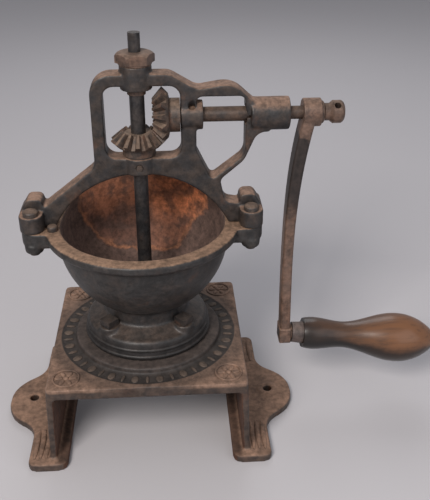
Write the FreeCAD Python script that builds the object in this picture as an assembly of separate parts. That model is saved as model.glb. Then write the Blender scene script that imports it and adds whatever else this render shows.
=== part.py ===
"""Cast-iron counter coffee mill with a side crank, in millimetres.

The origin lies on the counter, midway between the two screw holes of the base. X runs from the
mill out to the crank, Y runs from front to back and Z is up.
"""

import FreeCAD, Part
import math
import os

V = FreeCAD.Vector
ORIGIN = V(0, 0, 0)
ALONG_X = V(1, 0, 0)
ALONG_Y = V(0, 1, 0)
UP = V(0, 0, 1)

# Fits
running_fit = 0.05
slip_fit = 0.02

# Rounded heads, as shares of their radius and rise
dome_turn_out = 0.8
dome_turn_up = 0.75
dome_flat = 0.4

# Base: a square plate on two side walls that stand on floor flanges
table_height = 83.0
plate_side = 170.0
plate_depth = 166.0
plate_edge = 11.0
plate_web = 7.0
edge_width = 8.0
plate_corner = 4.0
plate_top_round = 1.5
seat_radius = 66.0
seat_rise = 6.0
seat_round = 2.0
bead_radius = 80.0
bead_round = 1.3
chute_radius = 26.0
wall_thickness = 6.0
wall_splay = 3.0
flange_outside = 22.0
flange_inside = 12.5
flange_thickness = 8.0
flange_overhang = 7.0
flange_corner = 7.0
flange_round = 2.5
ear_reach = 29.0
ear_root_half = 41.0
ear_root_round = 24.0
ear_tip_half = 20.0
ear_tip_round = 36.0
ear_hole_spacing = 226.0
ear_hole_radius = 4.0
ear_boss_radius = 9.0
ear_boss_rise = 1.5

# Hopper bowl with its collar, neck, rim and two ears
bowl_height = 108.0
mouth_radius = 69.0
bowl_wall = 4.0
bowl_centre_drop = 9.0
rim_width = 14.0
rim_thickness = 7.5
rim_drop = 13.0
rim_round = 1.5
back_rise = 20.0
back_start = 12.0
back_wall = 5.0
neck_radius = 37.5
collar_radius = 55.5
collar_foot = 3.0
collar_height = 18.0
collar_taper = 1.5
collar_round = 4.0
collar_slope = 6.0
throat_radius = 25.0
bolt_circle = 45.5
bolt_pad_radius = 8.5
bolt_pad_rise = 5.5
bowl_ear_out = 18.5
bowl_ear_half = 23.0
bowl_ear_depth = 14.0
bowl_ear_corner = 14.0
bowl_ear_round = 3.0
ear_stud_radius = 8.0
ear_stud_drop = 5.0

# Fasteners
collar_bolt_radius = 4.0
collar_bolt_head = 11.5
collar_bolt_head_height = 6.0
collar_nut_height = 6.0
bolt_end = 2.0
frame_bolt_radius = 4.2
frame_bolt_head_radius = 6.3
frame_bolt_head_side = 3.0
frame_bolt_head_height = 5.0
frame_bolt_end = 1.5
frame_bolt_inset = 10.5
frame_bolt_side = 16.0
peg_radius = 4.5
peg_side = 2.5
peg_height = 5.0
peg_shank_radius = 2.5
peg_shank = 4.5
peg_angle = 191.0

# Arch frame
frame_depth = 18.0
frame_round = 1.5
foot_pad = 15.0
foot_pad_flat = 0.5
foot_length = 20.0
foot_rise = 26.0
foot_outer_rise = 14.0
foot_nub = 12.5
foot_scroll = 6.0
nub_flat = 3.5
arm_dip = 17.5
dip_round = 1.5
arch_rise = 45.8
arch_clear = 3.5
crossbar = 14.0
axis_rise = 33.0
window_rise = 25.5
window_corner = 9.0
top_bar = 10.0
post_inner = 26.5
post_width = 10.0
post_shoulder = 17.0
middle_post_width = 12.5
outer_window_inset = 16.0
outer_window_drop = 9.0
outer_window_sill = 5.0
outer_window_round = 5.0
outer_window_low = 6.0
outer_window_bend = 12.0
brace_thickness = 7.0
outer_window_rise = 21.0
shoulder_before = 8.0
shoulder_round = 14.0
saddle_after = 13.0
saddle_drop = 12.5
saddle_round = 12.0
hump_before = 10.5
hump_drop = 8.0
hump_round = 20.0
brace_width = 10.0
brace_heel = 16.0
brace_bend = 16.0
brace_drop = 4.0
brace_foot_round = 7.0
brace_foot_rise = 2.0
top_boss_radius = 12.8
top_boss_height = 19.5
top_boss_rise = 6.0
lower_boss_radius = 14.0
inner_boss_start = 34.0
inner_boss_length = 18.0
inner_boss_radius = 11.9
outer_post = 4.5
outer_boss_length = 31.5
outer_boss_radius = 13.4
bore_lead = 1.0
boss_corner = 1.8
oil_hole_radius = 2.7
oil_hole_tilt = 50.0
bush_wall = 2.5
bush_pin_radius = 2.5
bush_pin_proud = 0.4

# Bevel gears, an equal pair whose cones meet where the two shafts cross
gear_teeth = 14
gear_pitch_radius = 21.0
gear_face = 12.0
tooth_addendum = 2.3
tooth_dedendum = 2.9
tooth_share = 0.43
tooth_flank_angle = 22.0
gear_back = 2.0
gear_hub_radius = 13.5
thrust_washer_thickness = 1.5
thrust_washer_radius = 12.5
gear_pin_radius = 2.0
gear_pin_from_end = 4.0
gear_back_step = 1.0
gap_inner_scale = 0.2
gap_outer_scale = 1.5
hub_gap = 0.3

# Upright spindle, burrs and the adjusting nut
shaft_radius = 6.0
spindle_stub_radius = 4.75
spindle_stub_rise = 14.5
sleeve_radius = 7.4
sleeve_show = 4.0
nut_lip_radius = 13.0
nut_lip = 1.5
hex_across_flats = 27.0
hex_height = 8.0
hex_turn = 8.0
cone_height = 22.0
cone_top_radius = 11.0
cone_bottom_radius = 21.0
cone_lift = 1.0
grind_gap = 0.8
cone_grooves = 10
groove_width = 2.2
ring_radius = 34.0
ring_height = 16.0
ring_screws_count = 3
ring_screw_radius = 2.0
ring_screw_head_radius = 3.2
ring_screw_circle = 29.8
ring_screw_bite = 7.0
cone_washer_radius = 10.0
cone_washer_thickness = 2.0
cone_nut_flats = 17.0
cone_nut_height = 8.0

# Crank
crank_throw = 214.0
tenon_radius = 5.3
eye_gap = 10.5
eye_length = 15.0
eye_radius = 11.4
arm_top_thickness = 10.5
arm_middle_thickness = 9.4
arm_eye_width = 20.5
arm_middle_width = 15.0
arm_block_width = 15.6
arm_lean = 12.8
arm_top_shift = 1.5
arm_upper_drop = 42.8
arm_upper_lean = 9.0
arm_bow = 7.0
arm_lower_bow = 0.8
arm_round = 2.5
block_thickness = 10.8
block_height = 15.4
block_width = 17.4
crank_nut_length = 19.0
crank_nut_neck = 7.0
crank_nut_flange = 2.0
crank_nut_step = 1.5
crank_nut_neck_end = 6.8
crank_nut_bulb_start = 9.5
crank_nut_bulb_end = 16.0
crank_nut_bulb = 9.2
crank_nut_bite = 8.0
cross_hole_radius = 2.75
cross_hole_at = 12.5

# Handle, whose axis droops a little towards its outer end
handle_droop = 6.0
rod_radius = 4.0
pivot_boss_radius = 7.4
pivot_boss_length = 1.0
grip_gap = 0.3
ferrule_length = 10.5
ferrule_inner_radius = 9.4
ferrule_outer_radius = 10.2
ferrule_end_wall = 2.0
grip_tenon_radius = 8.0
grip_length = 126.0
grip_shoulder_radius = 13.7
grip_bead_radius = 14.7
grip_bead_at = 4.6
grip_waist_radius = 12.2
grip_waist_at = 38.0
grip_swell_radius = 21.2
grip_swell_at = 76.0
grip_end_radius = 8.7
end_recess_radius = 7.5
end_recess = 4.0
end_washer_radius = 7.0
end_washer_thickness = 1.5
rivet_radius = 6.0
rivet_height = 2.0

# Heights and places that follow
half_side = plate_side / 2
half_depth = plate_depth / 2
plate_bottom = table_height - plate_edge
web_bottom = table_height - plate_web
seat_top = table_height + seat_rise
rim_top = seat_top + bowl_height
rim_radius = mouth_radius + rim_width
bowl_radius = mouth_radius + bowl_wall
bowl_centre = rim_top - bowl_centre_drop
collar_top = seat_top + collar_height
ring_top = seat_top + ring_height
pad_top = collar_top + bolt_pad_rise
ear_end = rim_radius + bowl_ear_out
ear_bottom = rim_top - bowl_ear_depth
stud_bottom = ear_bottom - ear_stud_drop
frame_bolt_x = ear_end - frame_bolt_inset
arch_crown = rim_top + arch_rise
arch_half_span = mouth_radius + arch_clear
outer_window_end = ear_end - outer_window_inset
outer_boss_start = outer_window_end + outer_post
crossbar_top = arch_crown + crossbar
drive_axis = crossbar_top + axis_rise
window_top = drive_axis + window_rise
frame_top = window_top + top_bar
top_boss_top = frame_top + top_boss_rise
top_boss_bottom = top_boss_top - top_boss_height
shoulder = top_boss_bottom - sleeve_show
hex_bottom = top_boss_top + nut_lip
hex_top = hex_bottom + hex_height
spindle_top = hex_top + spindle_stub_rise
cone_bottom = seat_top + cone_lift
cone_nut_top = cone_bottom - cone_washer_thickness
spindle_bottom = cone_nut_top - cone_nut_height - bolt_end
bush_radius = shaft_radius + bush_wall
outer_boss_end = outer_boss_start + outer_boss_length
eye_start = outer_boss_end + eye_gap
eye_end = eye_start + eye_length
tenon_end = eye_end + crank_nut_bite
apex = V(0, 0, drive_axis)
driven_hub_end = axis_rise - thrust_washer_thickness
driving_hub_end = inner_boss_start - hub_gap

block_centre_x = eye_start + eye_length / 2 - arm_lean
pivot = V(block_centre_x, 0, drive_axis - crank_throw)
droop = math.radians(handle_droop)
handle_axis = V(math.cos(droop), 0, -math.sin(droop))
pivot_face = block_thickness / 2 + pivot_boss_length
ferrule_start = pivot_face + grip_gap
grip_start = ferrule_start + ferrule_length
grip_end = grip_start + grip_length
recess_floor = grip_end - end_recess


def on_floor(a, b):
    """A point of a plan outline."""
    return V(a, b, 0)


def upright(a, b):
    """A point of an outline seen from the front."""
    return V(a, 0, b)


def rounded_face(corners, place):
    """A face whose corners (a, b, radius) are rounded by tangent arcs."""
    arcs = []
    for i, (a, b, radius) in enumerate(corners):
        here = place(a, b)
        before = place(*corners[i - 1][:2]) - here
        after = place(*corners[(i + 1) % len(corners)][:2]) - here
        before.normalize()
        after.normalize()
        half = before.getAngle(after) / 2
        setback = radius / math.tan(half)
        middle = before + after
        middle.normalize()
        reach = radius / math.sin(half) - radius
        arcs.append((here + before * setback, here + middle * reach, here + after * setback))
    edges = []
    for i, (start, middle, end) in enumerate(arcs):
        edges.append(Part.LineSegment(arcs[i - 1][2], start).toShape())
        if (end - start).Length > 1e-6:
            edges.append(Part.Arc(start, middle, end).toShape())
    return Part.Face(Part.Wire(edges))


def lathe(outline, centre=ORIGIN, axis=UP):
    """A solid of revolution about Z, then laid with its axis through a centre along another axis.

    The outline lists (radius, height) points. A step of two points is an arc through the first
    of them that ends at the second.
    """
    edges = []
    last = upright(*outline[0])
    for step in outline[1:] + outline[:1]:
        if isinstance(step[0], tuple):
            end = upright(*step[1])
            edges.append(Part.Arc(last, upright(*step[0]), end).toShape())
        else:
            end = upright(*step)
            edges.append(Part.LineSegment(last, end).toShape())
        last = end
    solid = Part.Face(Part.Wire(edges)).revolve(ORIGIN, UP, 360)
    return laid(solid, centre, axis)


def domed(radius, side, top):
    """The last steps of a lathe outline: a side that rounds over to a small flat top."""
    turn = (radius * dome_turn_out, side + (top - side) * dome_turn_up)
    return [(radius, side), (turn, (radius * dome_flat, top)), (0, top)]


def laid(shape, centre, axis):
    """A copy of a shape made on Z, laid along an axis from a centre."""
    copy = shape.copy()
    copy.Placement = FreeCAD.Placement(centre, FreeCAD.Rotation(UP, axis))
    return copy


def turned(shape, centre, axis, angle):
    """A copy of a shape turned about an axis."""
    copy = shape.copy()
    copy.rotate(centre, axis, angle)
    return copy


def mirrored(shape):
    """The shape together with its mirror image across the YZ plane."""
    return [shape, shape.mirror(ORIGIN, ALONG_X)]


def rod(radius, start, axis, length):
    """A plain round bar."""
    return Part.makeCylinder(radius, length, start, axis)


def tube(outer, inner, start, axis, length):
    """A plain round tube."""
    return rod(outer, start, axis, length).cut(rod(inner, start, axis, length))


def hexagon(across_flats, height, bottom):
    """An upright six-sided prism on the Z axis."""
    corner = across_flats / math.sqrt(3)
    ring = [V(corner * math.cos(math.radians(60 * i)), corner * math.sin(math.radians(60 * i)), bottom)
            for i in range(7)]
    return Part.Face(Part.makePolygon(ring)).extrude(UP * height)


def around(count, radius, first_angle):
    """Points of a ring of holes."""
    angles = [math.radians(first_angle + 360 * i / count) for i in range(count)]
    return [V(radius * math.cos(a), radius * math.sin(a), 0) for a in angles]


def edges_where(shape, test):
    """The edges whose every vertex passes a test."""
    return [e for e in shape.Edges if all(test(v.Point) for v in e.Vertexes)]


def collar_bolt_places():
    """Centres of the four bolts through the collar."""
    return around(4, bolt_circle, 45)


def frame_bolt_places():
    """Centres of the bolts through the frame's feet, two at each foot."""
    return [V(x * frame_bolt_x, y * frame_bolt_side, 0) for x in (-1, 1) for y in (-1, 1)]


def base_flange():
    """The floor flange under the right wall, with its screw ear."""
    inner = half_side - flange_inside
    outer = half_side + flange_outside
    end = half_depth + flange_overhang
    tip = outer + ear_reach
    face = rounded_face([
        (inner, -end, flange_corner),
        (outer, -end, flange_corner),
        (outer, -ear_root_half, ear_root_round),
        (tip, -ear_tip_half, ear_tip_round),
        (tip, ear_tip_half, ear_tip_round),
        (outer, ear_root_half, ear_root_round),
        (outer, end, flange_corner),
        (inner, end, flange_corner),
    ], on_floor)
    flange = face.extrude(UP * flange_thickness)
    top_edges = edges_where(flange, lambda p: p.z > flange_thickness / 2)
    flange = flange.makeFillet(flange_round, top_edges)
    hole = V(ear_hole_spacing / 2, 0, 0)
    height = flange_thickness + ear_boss_rise
    boss = Part.makeCone(ear_boss_radius + ear_boss_rise, ear_boss_radius, height, hole, UP)
    return flange.fuse(boss).cut(rod(ear_hole_radius, hole, UP, height))


def base_wall():
    """The right wall, a little further out at its foot."""
    foot = half_side + wall_splay
    profile = [upright(half_side, web_bottom), upright(foot, 0),
               upright(foot - wall_thickness, 0), upright(half_side - wall_thickness, web_bottom)]
    face = Part.Face(Part.makePolygon(profile + profile[:1]))
    face.translate(ALONG_Y * -half_depth)
    return face.extrude(ALONG_Y * plate_depth)


def base_table():
    """The cast base."""
    corners = [(x * half_side, y * half_depth, plate_corner)
               for x, y in ((-1, -1), (1, -1), (1, 1), (-1, 1))]
    plate = rounded_face(corners, on_floor).extrude(UP * plate_edge)
    plate = plate.makeFillet(plate_top_round, edges_where(plate, lambda p: p.z > plate_edge / 2))
    plate.translate(UP * plate_bottom)
    pocket_x = plate_side - 2 * wall_thickness
    pocket_y = plate_depth - 2 * edge_width
    pocket = Part.makeBox(pocket_x, pocket_y, plate_edge - plate_web,
                          V(-pocket_x / 2, -pocket_y / 2, plate_bottom))
    seat = rod(seat_radius, UP * table_height, UP, seat_rise)
    seat = seat.makeFillet(seat_round, [e for e in seat.Edges if e.BoundBox.ZMin > seat_top - 1e-3])
    bead = Part.makeTorus(bead_radius, bead_round, UP * table_height)
    base = plate.cut(pocket).fuse([seat, bead] + mirrored(base_wall()) + mirrored(base_flange()))
    holes = [rod(chute_radius, UP * plate_bottom, UP, plate_edge + seat_rise)]
    for place in collar_bolt_places():
        start = place + UP * plate_bottom
        holes.append(rod(collar_bolt_radius + slip_fit, start, UP, plate_edge + seat_rise))
    return base.cut(holes).removeSplitter()


def bowl_shell():
    """The turned form of the bowl: collar, neck, round body and rim."""
    seat_bore = ring_radius + slip_fit
    collar_edge = collar_radius - collar_taper
    shoulder_centre = (collar_edge - collar_round, collar_top - collar_round)
    quarter = math.sqrt(0.5)
    rim_under = rim_top - rim_drop
    body_low = math.sqrt(bowl_radius ** 2 - neck_radius ** 2)
    body_side = math.sqrt(bowl_radius ** 2 - (bowl_centre - rim_under) ** 2)
    hollow_low = math.sqrt(mouth_radius ** 2 - throat_radius ** 2)
    return lathe([
        (seat_bore, seat_top),
        (collar_radius, seat_top),
        (collar_radius, seat_top + collar_foot),
        (collar_edge, collar_top - collar_round),
        ((shoulder_centre[0] + collar_round * quarter, shoulder_centre[1] + collar_round * quarter),
         (shoulder_centre[0], collar_top)),
        (neck_radius, collar_top + collar_slope),
        (neck_radius, bowl_centre - body_low),
        ((bowl_radius * quarter, bowl_centre - bowl_radius * quarter), (body_side, rim_under)),
        (rim_radius - rim_round, rim_top - rim_thickness),
        (rim_radius, rim_top - rim_thickness + rim_round),
        (rim_radius, rim_top - rim_round),
        (rim_radius - rim_round, rim_top),
        (mouth_radius + rim_round, rim_top),
        (mouth_radius, rim_top - rim_round),
        (mouth_radius, bowl_centre),
        ((mouth_radius * quarter, bowl_centre - mouth_radius * quarter),
         (throat_radius, bowl_centre - hollow_low)),
        (throat_radius, ring_top),
        (seat_bore, ring_top),
    ])


def bowl_back():
    """The raised back of the rim, which climbs from behind the ears to its middle."""
    outer = mouth_radius + back_wall
    low = rim_top - rim_thickness
    high = rim_top + back_rise
    profile = [V(-outer, back_start, low), V(-outer, outer, low), V(-outer, outer, high),
               V(-outer, back_start, rim_top)]
    wedge = Part.Face(Part.makePolygon(profile + profile[:1])).extrude(ALONG_X * 2 * outer)
    return tube(outer, mouth_radius, UP * low, UP, high - low).common(wedge)


def bowl_ear():
    """The right ear of the bowl, which carries a foot of the frame."""
    start = mouth_radius + bowl_wall / 2
    face = rounded_face([
        (start, -bowl_ear_half, 0),
        (ear_end, -bowl_ear_half, bowl_ear_corner),
        (ear_end, bowl_ear_half, bowl_ear_corner),
        (start, bowl_ear_half, 0),
    ], on_floor)
    ear = face.extrude(UP * bowl_ear_depth)
    ear.translate(UP * ear_bottom)
    outer_edges = edges_where(ear, lambda p: p.z < rim_top - 1 and p.x > start + 1)
    return ear.makeFillet(bowl_ear_round, outer_edges)


def hopper_bowl():
    """The cast bowl, bored for its bolts, its peg and the screws of the standing burr."""
    pads = [rod(bolt_pad_radius, place + UP * seat_top, UP, pad_top - seat_top)
            for place in collar_bolt_places()]
    studs = [rod(ear_stud_radius, place + UP * stud_bottom, UP, ear_stud_drop + bowl_ear_round)
             for place in frame_bolt_places()]
    studs = [stud.makeFillet(bowl_ear_round, [e for e in stud.Edges if e.BoundBox.ZMax < stud_bottom + 1e-3])
             for stud in studs]
    bowl = bowl_shell().fuse(mirrored(bowl_ear()) + [bowl_back()] + pads + studs)
    holes = []
    for place in collar_bolt_places():
        holes.append(rod(collar_bolt_radius + slip_fit, place + UP * seat_top, UP, pad_top - seat_top))
    for place in frame_bolt_places():
        holes.append(rod(frame_bolt_radius + slip_fit, place + UP * stud_bottom, UP, rim_top - stud_bottom))
    for place in ring_screw_places():
        holes.append(rod(ring_screw_radius + slip_fit, place + UP * ring_top, UP, ring_screw_bite))
    peg_hole = rod(peg_shank_radius + slip_fit, peg_place() - UP * peg_shank, UP, peg_shank)
    return bowl.cut(holes + [peg_hole]).removeSplitter()


def peg_place():
    """The foot of the peg on the rim."""
    radius = mouth_radius + rim_width / 2
    angle = math.radians(peg_angle)
    return V(radius * math.cos(angle), radius * math.sin(angle), rim_top)


def rim_peg():
    """The round-headed peg beside the left ear."""
    return lathe([
        (0, -peg_shank),
        (peg_shank_radius, -peg_shank),
        (peg_shank_radius, 0),
        (peg_radius, 0),
    ] + domed(peg_radius, peg_side, peg_height), peg_place())


def square_block(height, bottom):
    """A square bolt head or nut on a collar bolt, one flat turned to the neck."""
    half = collar_bolt_head / 2
    block = Part.makeBox(collar_bolt_head, collar_bolt_head, height, bottom - V(half, half, 0))
    return turned(block, bottom, UP, 45)


def collar_bolt(place):
    """A square-head bolt through the collar and the plate."""
    bottom = web_bottom - collar_nut_height - bolt_end
    shank = rod(collar_bolt_radius, place + UP * bottom, UP, pad_top - bottom)
    return shank.fuse(square_block(collar_bolt_head_height, place + UP * pad_top)).removeSplitter()


def collar_nut(place):
    """A square nut under the plate."""
    bottom = web_bottom - collar_nut_height
    block = square_block(collar_nut_height, place + UP * bottom)
    return block.cut(rod(collar_bolt_radius + slip_fit, place + UP * bottom, UP, collar_nut_height))


def frame_bolt(place):
    """A round-head bolt through a foot of the frame and an ear of the bowl."""
    head = rim_top + foot_pad
    return lathe([
        (0, stud_bottom - frame_bolt_end),
        (frame_bolt_radius, stud_bottom - frame_bolt_end),
        (frame_bolt_radius, head),
        (frame_bolt_head_radius, head),
    ] + domed(frame_bolt_head_radius, head + frame_bolt_head_side, head + frame_bolt_head_height), place)


def frame_outline():
    """The outside of the frame seen from the front, feet to top."""
    post_outer = post_inner + post_width
    foot_start = ear_end - foot_length
    foot_top = rim_top + foot_rise
    nub_end = foot_start + foot_nub
    nub_round = foot_rise - arm_dip - nub_flat
    dip = rim_top + arm_dip
    brace_foot = arch_crown - crossbar / 2
    boss_low = drive_axis - outer_boss_radius
    boss_middle = outer_boss_start + outer_boss_length / 2
    return rounded_face([
        (-ear_end, rim_top, 0),
        (-ear_end, rim_top + foot_outer_rise, foot_scroll),
        (-nub_end, foot_top, nub_round),
        (-foot_start, foot_top, nub_round),
        (-foot_start, dip, dip_round),
        (-post_outer, crossbar_top - crossbar / 2, window_corner),
        (-post_outer, frame_top, post_shoulder),
        (inner_boss_start - shoulder_before, frame_top, shoulder_round),
        (inner_boss_start + saddle_after, frame_top - saddle_drop, saddle_round),
        (outer_window_end - hump_before, frame_top - hump_drop, hump_round),
        (boss_middle, drive_axis, boss_corner),
        (boss_middle, boss_low, boss_corner),
        (outer_window_end + brace_width, boss_low, brace_width),
        (outer_window_end, crossbar_top - brace_drop, brace_bend),
        (outer_window_end - 2 * brace_width, brace_foot, brace_foot_round),
        (outer_window_end - brace_heel, dip + brace_foot_rise, brace_foot_round),
        (foot_start, dip, dip_round),
        (foot_start, foot_top, nub_round),
        (nub_end, foot_top, nub_round),
        (ear_end, rim_top + foot_outer_rise, foot_scroll),
        (ear_end, rim_top, 0),
    ], upright)


def frame_windows():
    """The three openings of the frame seen from the front: two windows and the arch over the bowl."""
    middle_outer = inner_boss_start + middle_post_width
    left = rounded_face([
        (-post_inner, crossbar_top, window_corner),
        (inner_boss_start, crossbar_top, window_corner),
        (inner_boss_start, window_top, window_corner),
        (-post_inner, window_top, window_corner),
    ], upright)
    right_low = arch_crown - outer_window_low
    right_top = window_top - outer_window_drop
    right = rounded_face([
        (middle_outer, crossbar_top + outer_window_sill, outer_window_round),
        (outer_window_end - 2 * brace_width - brace_thickness, right_low, dip_round + frame_round),
        (outer_window_end, right_low + outer_window_rise, outer_window_bend),
        (outer_window_end, right_top, outer_window_round),
        (middle_outer, right_top, outer_window_round),
    ], upright)
    radius = (arch_half_span ** 2 + arch_rise ** 2) / (2 * arch_rise)
    arch = Part.Face(Part.Wire(Part.makeCircle(radius, V(0, 0, arch_crown - radius), ALONG_Y)))
    return [left, right, arch]


def foot_pads():
    """The flat pads under both ends of the frame, which the bolts clamp."""
    start = ear_end - foot_length
    foot_pad_round = foot_length / 2 - foot_pad_flat
    face = rounded_face([
        (start, -bowl_ear_half, foot_pad_round),
        (ear_end, -bowl_ear_half, foot_pad_round),
        (ear_end, bowl_ear_half, foot_pad_round),
        (start, bowl_ear_half, foot_pad_round),
    ], on_floor)
    pad = face.extrude(UP * foot_pad)
    pad.translate(UP * rim_top)
    pad = pad.makeFillet(frame_round, edges_where(pad, lambda p: p.z > rim_top + foot_pad / 2))
    return mirrored(pad)


def frame_plate():
    """The flat body of the frame with its windows, its edges rounded."""
    face = frame_outline().cut(frame_windows())
    plate = max(face.Faces, key=lambda f: f.Area).extrude(ALONG_Y * frame_depth)
    plate.translate(ALONG_Y * (-frame_depth / 2))
    rims = [e for e in plate.Edges
            if e.BoundBox.YLength < 1e-6 and e.BoundBox.ZMin > rim_top + frame_round]
    return plate.makeFillet(frame_round, rims)


def arch_frame():
    """The cast frame with its four bored bosses."""
    top_boss = rod(top_boss_radius, UP * top_boss_bottom, UP, top_boss_height)
    lower_boss = rod(lower_boss_radius, UP * arch_crown, UP, crossbar)
    inner_boss = rod(inner_boss_radius, V(inner_boss_start, 0, drive_axis), ALONG_X, inner_boss_length)
    outer_boss = rod(outer_boss_radius, V(outer_boss_start, 0, drive_axis), ALONG_X, outer_boss_length)
    bosses = [top_boss, lower_boss, inner_boss, outer_boss]
    frame = frame_plate().fuse(bosses + foot_pads())
    holes = [
        rod(sleeve_radius + running_fit, UP * top_boss_bottom, UP, top_boss_height),
        rod(bush_radius + slip_fit, UP * (arch_crown - crossbar), UP, 2 * crossbar),
        rod(bush_radius + slip_fit, V(inner_boss_start, 0, drive_axis), ALONG_X, inner_boss_length),
        rod(bush_radius + slip_fit, V(outer_window_end - bore_lead, 0, drive_axis), ALONG_X,
            outer_boss_end - outer_window_end + bore_lead),
        rod(bush_pin_radius + slip_fit, bush_pin_start(), ALONG_Y, lower_boss_radius - bush_radius),
        oil_hole(bush_radius + bush_wall / 2),
    ]
    for place in frame_bolt_places():
        holes.append(rod(frame_bolt_radius + slip_fit, place + UP * rim_top, UP, foot_pad))
    return frame.cut(holes).removeSplitter()


def oil_hole(depth_radius):
    """A hole into the inner boss, open towards the front and up."""
    tilt = math.radians(oil_hole_tilt)
    outward = V(0, -math.cos(tilt), math.sin(tilt))
    centre = V(inner_boss_start + inner_boss_length / 2, 0, drive_axis)
    return rod(oil_hole_radius, centre + outward * (depth_radius - bush_wall), outward,
               2 * inner_boss_radius - depth_radius)


def bush_pin_start():
    """Where the pin of the lower bush leaves the front of the crossbar's boss."""
    return V(0, -lower_boss_radius, arch_crown + crossbar / 2)


def bush_pin():
    """The round pin that holds the lower bush, a little proud of the boss."""
    length = lower_boss_radius - bush_radius - slip_fit + bush_pin_proud
    return rod(bush_pin_radius, bush_pin_start() - ALONG_Y * bush_pin_proud, ALONG_Y, length)


def lower_bush():
    """The spindle's bearing in the crossbar."""
    return tube(bush_radius, shaft_radius + running_fit, UP * arch_crown, UP, crossbar)


def crank_bush(start, length):
    """A bearing of the crank shaft."""
    return tube(bush_radius, shaft_radius + running_fit, V(start, 0, drive_axis), ALONG_X, length)


def gear_blank(hub_end):
    """A bevel gear before its teeth are cut, with its cone's point at the origin and its hub up Z."""
    inner = gear_pitch_radius - gear_face * math.sqrt(0.5)
    slant = math.sqrt(0.5)
    small = inner / gear_pitch_radius
    tip = tooth_addendum * slant
    root = (tooth_dedendum + gear_back) * slant
    front = inner + tooth_dedendum * slant * small
    return lathe([
        (shaft_radius + slip_fit, front),
        (inner - (front - inner), front),
        (inner + tip * small, inner - tip * small),
        (gear_pitch_radius + tip, gear_pitch_radius - tip),
        (gear_pitch_radius - root, gear_pitch_radius + root),
        (gear_hub_radius, gear_pitch_radius + root + gear_back_step),
        (gear_hub_radius, hub_end),
        (shaft_radius + slip_fit, hub_end),
    ])


def tooth_gap():
    """The wedge between two teeth, narrowing to the point of the cone, in the XZ plane."""
    pitch = 2 * math.pi * gear_pitch_radius / gear_teeth
    half_gap = pitch * (1 - tooth_share) / 2
    spread = math.tan(math.radians(tooth_flank_angle))
    ray = V(1, 0, 1) * gear_pitch_radius
    outward = V(1, 0, -1) * math.sqrt(0.5)
    top = 2 * tooth_addendum
    corners = []
    for height in (-tooth_dedendum, top):
        width = half_gap + height * spread
        corners.append((height, width))
    low, high = corners
    ring = [outward * low[0] - ALONG_Y * low[1], outward * low[0] + ALONG_Y * low[1],
            outward * high[0] + ALONG_Y * high[1], outward * high[0] - ALONG_Y * high[1]]
    sections = []
    for scale in (gap_inner_scale, gap_outer_scale):
        points = [(ray + corner) * scale for corner in ring]
        sections.append(Part.makePolygon(points + points[:1]))
    return Part.makeLoft(sections, True, True)


def bevel_gear(hub_end, first_gap):
    """A bevel gear with straight teeth, its cone's point at the origin and its hub up Z."""
    gap = tooth_gap()
    step = 360 / gear_teeth
    gaps = [turned(gap, ORIGIN, UP, (first_gap + i) * step) for i in range(gear_teeth)]
    pin_hole = gear_pin(hub_end, slip_fit)
    return gear_blank(hub_end).cut(gaps).cut(pin_hole)


def gear_pin(hub_end, clearance):
    """The cross pin through a gear's hub and its shaft."""
    at = hub_end - gear_pin_from_end
    return rod(gear_pin_radius + clearance, V(0, -gear_hub_radius, at), ALONG_Y, 2 * gear_hub_radius)


def as_driven(shape):
    """Lays a gear piece on the spindle, its hub down."""
    flipped = turned(shape, ORIGIN, ALONG_X, 180)
    flipped.translate(apex)
    return flipped


def as_driving(shape):
    """Lays a gear piece on the crank shaft, its hub towards the crank."""
    swung = turned(shape, ORIGIN, ALONG_Y, 90)
    swung = turned(swung, ORIGIN, ALONG_X, 180)
    swung.translate(apex)
    return swung


def upright_spindle():
    """The upright shaft from the burr to the stub above the adjusting nut."""
    shaft = rod(shaft_radius, UP * spindle_bottom, UP, shoulder - spindle_bottom)
    stub = rod(spindle_stub_radius, UP * shoulder, UP, spindle_top - shoulder)
    return shaft.fuse(stub).cut(as_driven(gear_pin(driven_hub_end, slip_fit)))


def thrust_washer():
    """The washer between the driven gear and the crossbar."""
    return tube(thrust_washer_radius, shaft_radius + slip_fit, UP * crossbar_top, UP,
                thrust_washer_thickness)


def adjusting_nut():
    """The hexagon with its lip and the hollow screw that bears on the spindle's shoulder."""
    sleeve = rod(sleeve_radius, UP * shoulder, UP, top_boss_top - shoulder)
    lip = rod(nut_lip_radius, UP * top_boss_top, UP, nut_lip)
    block = hexagon(hex_across_flats, hex_height, hex_bottom)
    corner = hex_across_flats / math.sqrt(3)
    crown = lathe([
        (0, hex_bottom),
        (corner + 1.0, hex_bottom),
        (corner, hex_top - hex_height / 3),
        ((hex_across_flats / 2, hex_top - hex_height / 9), (hex_across_flats / 3, hex_top)),
        (0, hex_top),
    ])
    block = turned(block.common(crown), ORIGIN, UP, hex_turn)
    bore = rod(spindle_stub_radius + running_fit, UP * shoulder, UP, hex_top - shoulder)
    return sleeve.fuse([lip, block]).cut(bore).removeSplitter()


def cone_radius(height):
    """Radius of the turning burr at a height above its foot."""
    return cone_bottom_radius + (cone_top_radius - cone_bottom_radius) * height / cone_height


def grinding_cone():
    """The turning burr with slanting grooves."""
    foot = UP * cone_bottom
    cone = Part.makeCone(cone_bottom_radius, cone_top_radius, cone_height, foot, UP)
    lean = math.degrees(math.atan2(cone_bottom_radius - cone_top_radius, cone_height))
    slot = Part.makeBox(groove_width, groove_width, 2 * cone_height,
                        V(cone_bottom_radius - groove_width / 2, -groove_width / 2, 0))
    slot.translate(foot - UP * cone_height / 2)
    slot.rotate(foot + ALONG_X * cone_bottom_radius, ALONG_Y, -lean)
    slots = [turned(slot, foot, UP, 360 * i / cone_grooves) for i in range(cone_grooves)]
    return cone.cut(slots).cut(rod(shaft_radius + slip_fit, foot, UP, cone_height))


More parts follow.
